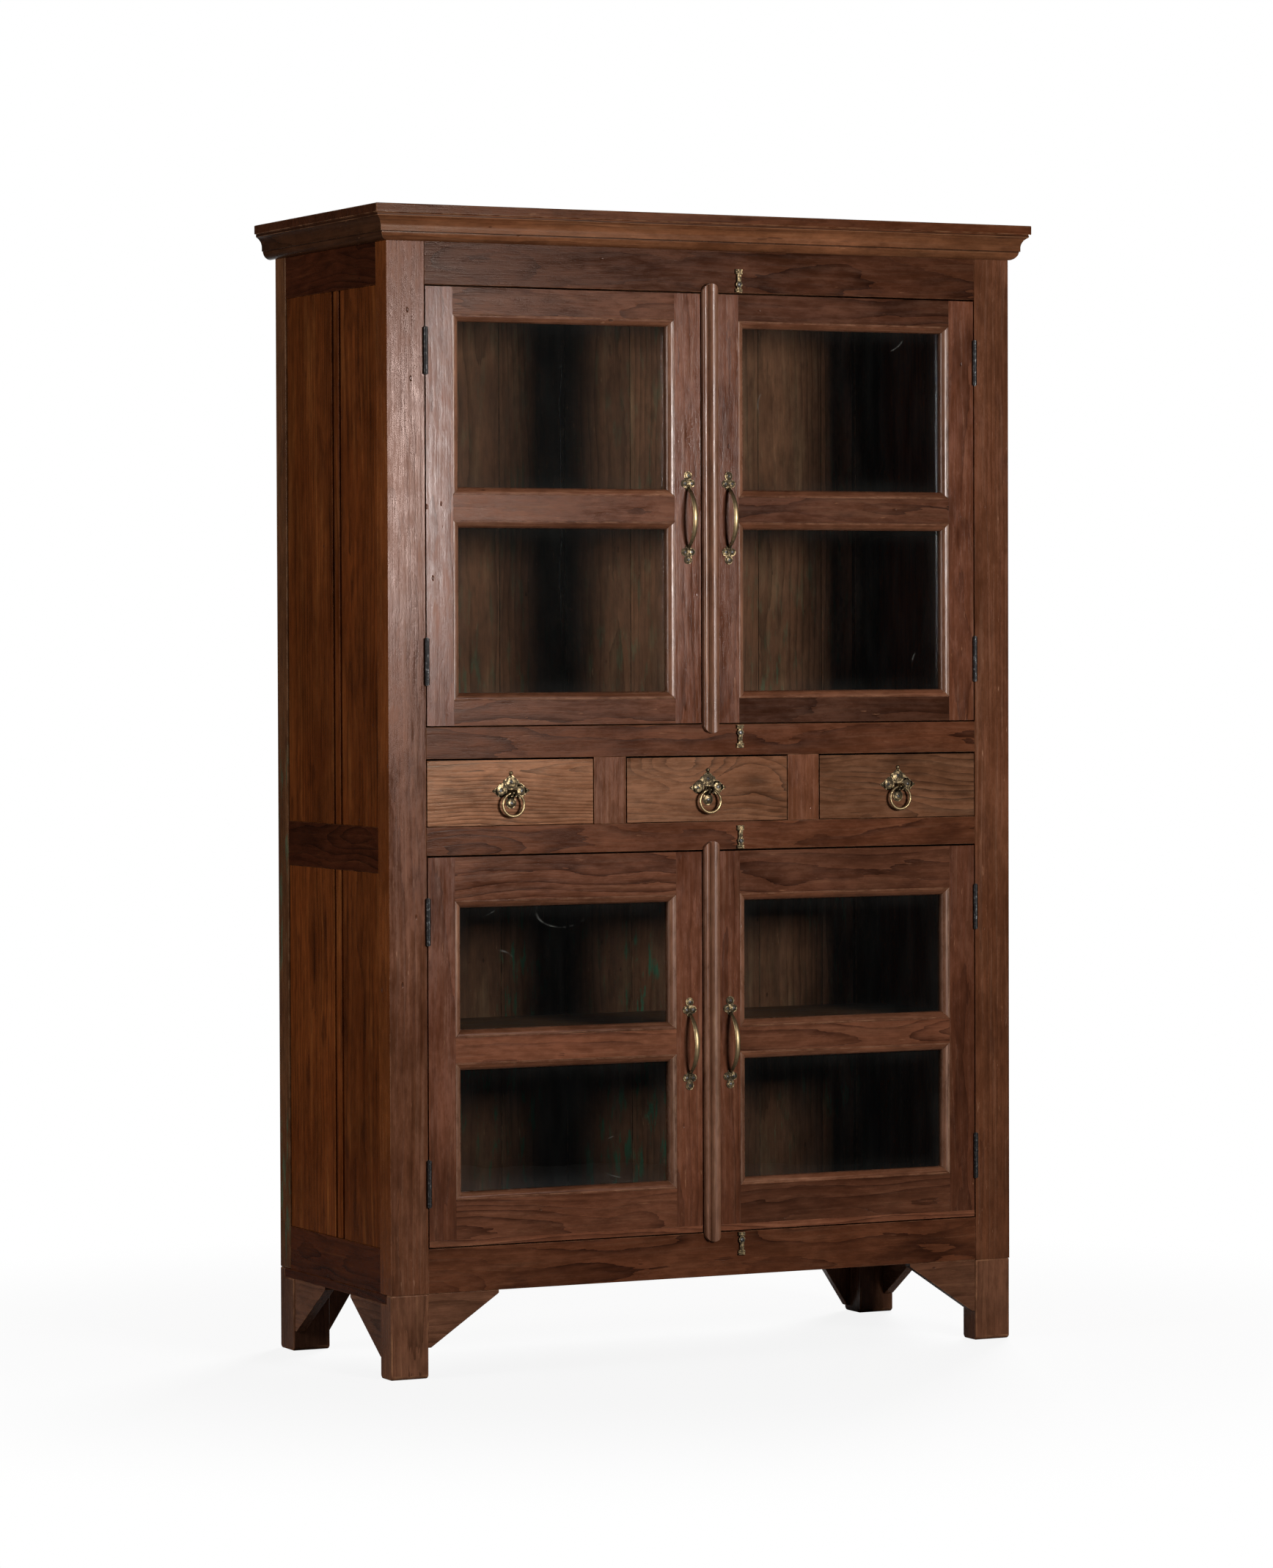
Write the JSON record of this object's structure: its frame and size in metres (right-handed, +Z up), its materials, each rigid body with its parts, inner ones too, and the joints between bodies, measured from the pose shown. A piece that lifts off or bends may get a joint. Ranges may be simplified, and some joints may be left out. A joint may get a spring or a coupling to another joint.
{
  "type": "glazed display cabinet",
  "caption": "Tall wooden display cabinet with glazed double doors above and below a row of drawers, a moulded cornice and bracketed feet.",
  "frame": {"origin": "on the floor, under the middle of the case", "axes": "+Z up, front with doors and drawers toward -Y, +X to the right of someone facing the front"},
  "size_m": [1.118, 0.4809, 1.75],
  "materials": {
    "case_wood": "old wax over reddish-brown hardwood, worn along the edges",
    "rail_wood": "old wax over dark red-brown hardwood",
    "drawer_wood": "waxed yellow-brown hardwood with arched grain",
    "bead_wood": "waxed lighter orange-brown hardwood",
    "inner_wood": "bare grey-brown planks",
    "old_glass": "thin old window glass, dusty at the corners",
    "aged_brass": "cast brass, dark in the hollows and rubbed bright on the edges",
    "hinge_iron": "dark worn iron"
  },
  "bodies": {
    "root": {"post_front_left": "case_wood", "post_front_right": "case_wood", "post_rear_left": "case_wood", "post_rear_right": "case_wood", "foot_blocks": "rail_wood", "corner_brackets": "rail_wood", "front_rails": "rail_wood", "drawer_dividers": "case_wood", "side_rails_left": "rail_wood", "side_rails_right": "rail_wood", "side_boards_left": "case_wood", "side_boards_right": "case_wood", "back_rails": "rail_wood", "back_planks": "inner_wood", "top_board": "case_wood", "cornice": "case_wood", "floor_boards": "inner_wood", "shelves": "inner_wood", "shelf_bearers": "inner_wood", "drawer_runners": "inner_wood", "hinge_plates": "hinge_iron", "hinge_pins": "hinge_iron"},
    "lower_left_door": {"lower_left_door_frame": "case_wood", "lower_left_door_beads": "bead_wood", "lower_left_door_glass": "old_glass", "lower_left_door_handle": "aged_brass", "lower_left_door_hinges": "hinge_iron"},
    "lower_right_door": {"lower_right_door_frame": "case_wood", "lower_right_door_beads": "bead_wood", "lower_right_door_glass": "old_glass", "lower_right_door_handle": "aged_brass", "lower_right_door_hinges": "hinge_iron", "lower_astragal": "case_wood"},
    "upper_left_door": {"upper_left_door_frame": "case_wood", "upper_left_door_beads": "bead_wood", "upper_left_door_glass": "old_glass", "upper_left_door_handle": "aged_brass", "upper_left_door_hinges": "hinge_iron"},
    "upper_right_door": {"upper_right_door_frame": "case_wood", "upper_right_door_beads": "bead_wood", "upper_right_door_glass": "old_glass", "upper_right_door_handle": "aged_brass", "upper_right_door_hinges": "hinge_iron", "upper_astragal": "case_wood"},
    "left_drawer": {"left_drawer_front": "drawer_wood", "left_drawer_box": "inner_wood", "left_drawer_pull": "aged_brass"},
    "left_ring": {"left_drawer_ring": "aged_brass"},
    "middle_drawer": {"middle_drawer_front": "drawer_wood", "middle_drawer_box": "inner_wood", "middle_drawer_pull": "aged_brass"},
    "middle_ring": {"middle_drawer_ring": "aged_brass"},
    "right_drawer": {"right_drawer_front": "drawer_wood", "right_drawer_box": "inner_wood", "right_drawer_pull": "aged_brass"},
    "right_ring": {"right_drawer_ring": "aged_brass"},
    "turn_button_lower_bottom": {"button_lower_bottom": "aged_brass"},
    "turn_button_lower_top": {"button_lower_top": "aged_brass"},
    "turn_button_upper_bottom": {"button_upper_bottom": "aged_brass"},
    "turn_button_upper_top": {"button_upper_top": "aged_brass"}
  },
  "joints": [
    {"name": "lower_left_door_hinge", "type": "hinge", "parent": "root", "child": "lower_left_door", "pos_m": [-0.4695, -0.2206, 0.48775], "axis": [0, 0, -1], "range_deg": [0, 110]},
    {"name": "lower_right_door_hinge", "type": "hinge", "parent": "root", "child": "lower_right_door", "pos_m": [0.4695, -0.2206, 0.48775], "axis": [0, 0, 1], "range_deg": [0, 110]},
    {"name": "upper_left_door_hinge", "type": "hinge", "parent": "root", "child": "upper_left_door", "pos_m": [-0.4695, -0.2206, 1.3035], "axis": [0, 0, -1], "range_deg": [0, 110]},
    {"name": "upper_right_door_hinge", "type": "hinge", "parent": "root", "child": "upper_right_door", "pos_m": [0.4695, -0.2206, 1.3035], "axis": [0, 0, 1], "range_deg": [0, 110]},
    {"name": "left_drawer_slide", "type": "slide", "parent": "root", "child": "left_drawer", "axis": [0, -1, 0], "range_m": [0, 0.28]},
    {"name": "middle_drawer_slide", "type": "slide", "parent": "root", "child": "middle_drawer", "axis": [0, -1, 0], "range_m": [0, 0.28]},
    {"name": "right_drawer_slide", "type": "slide", "parent": "root", "child": "right_drawer", "axis": [0, -1, 0], "range_m": [0, 0.28]},
    {"name": "left_ring_swing", "type": "hinge", "parent": "left_drawer", "child": "left_ring", "pos_m": [-0.33175, -0.2265, 0.874], "axis": [-1, 0, 0], "range_deg": [0, 85]},
    {"name": "middle_ring_swing", "type": "hinge", "parent": "middle_drawer", "child": "middle_ring", "pos_m": [0, -0.2265, 0.874], "axis": [-1, 0, 0], "range_deg": [0, 85]},
    {"name": "right_ring_swing", "type": "hinge", "parent": "right_drawer", "child": "right_ring", "pos_m": [0.33175, -0.2265, 0.874], "axis": [-1, 0, 0], "range_deg": [0, 85]},
    {"name": "turn_button_lower_bottom_turn", "type": "hinge", "parent": "root", "child": "turn_button_lower_bottom", "pos_m": [0.055, -0.217, 0.181], "axis": [0, -1, 0], "range_deg": [0, 180]},
    {"name": "turn_button_lower_top_turn", "type": "hinge", "parent": "root", "child": "turn_button_lower_top", "pos_m": [0.055, -0.217, 0.795], "axis": [0, -1, 0], "range_deg": [0, 180]},
    {"name": "turn_button_upper_bottom_turn", "type": "hinge", "parent": "root", "child": "turn_button_upper_bottom", "pos_m": [0.055, -0.217, 0.961], "axis": [0, -1, 0], "range_deg": [0, 180]},
    {"name": "turn_button_upper_top_turn", "type": "hinge", "parent": "root", "child": "turn_button_upper_top", "pos_m": [0.055, -0.217, 1.6465], "axis": [0, -1, 0], "range_deg": [0, 180]}
  ]
}
